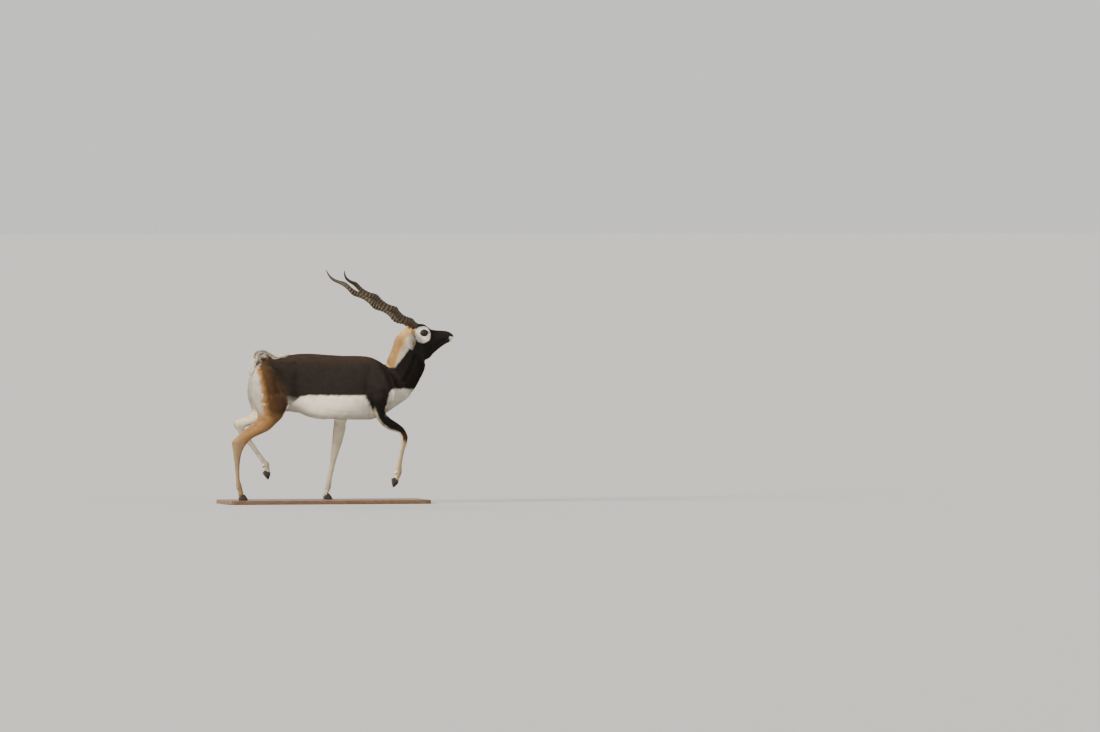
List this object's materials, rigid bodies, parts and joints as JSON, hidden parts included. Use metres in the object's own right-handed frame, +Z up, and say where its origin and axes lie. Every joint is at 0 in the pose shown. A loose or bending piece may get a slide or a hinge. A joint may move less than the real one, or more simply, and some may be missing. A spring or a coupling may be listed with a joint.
{
  "type": "life-size blackbuck model",
  "caption": "Still, life-size adult male blackbuck in a display walk on a flat base: ringed spiral horns, raised head, curled tail.",
  "frame": {"origin": "centre of the base board's underside, below the middle of the whole model's box", "axes": "+X the way the animal faces, +Y its left side, +Z up"},
  "size_m": [1.2497, 0.4794, 1.233],
  "materials": {
    "dark_coat": "short, flat blackish-brown hair",
    "leg_coat": "short, flat tan hair, paler inside",
    "pale_coat": "white to cream hair",
    "horn": "ringed horn, satin, smooth at the tips",
    "hoof": "satin black horn",
    "eye": "wet, dark brown",
    "board": "oiled dark wood"
  },
  "bodies": {
    "root": {"ear_left": "pale_coat", "ear_right": "pale_coat", "eye_left": "eye", "eye_right": "eye", "fore_hoof_left_left_claw": "hoof", "fore_hoof_left_right_claw": "hoof", "fore_hoof_right_left_claw": "hoof", "fore_hoof_right_right_claw": "hoof", "fore_leg_lower_left": "leg_coat", "fore_leg_lower_right": "leg_coat", "fore_leg_upper_left": "dark_coat", "fore_leg_upper_right": "dark_coat", "head": "dark_coat", "hind_hoof_left_left_claw": "hoof", "hind_hoof_left_right_claw": "hoof", "hind_hoof_right_left_claw": "hoof", "hind_hoof_right_right_claw": "hoof", "hind_leg_lower_left": "leg_coat", "hind_leg_lower_right": "leg_coat", "hind_leg_upper_left": "dark_coat", "hind_leg_upper_right": "dark_coat", "horn_left": "horn", "horn_right": "horn", "neck": "dark_coat", "stand_base": "board", "tail": "pale_coat", "torso": "dark_coat"}
  },
  "joints": []
}
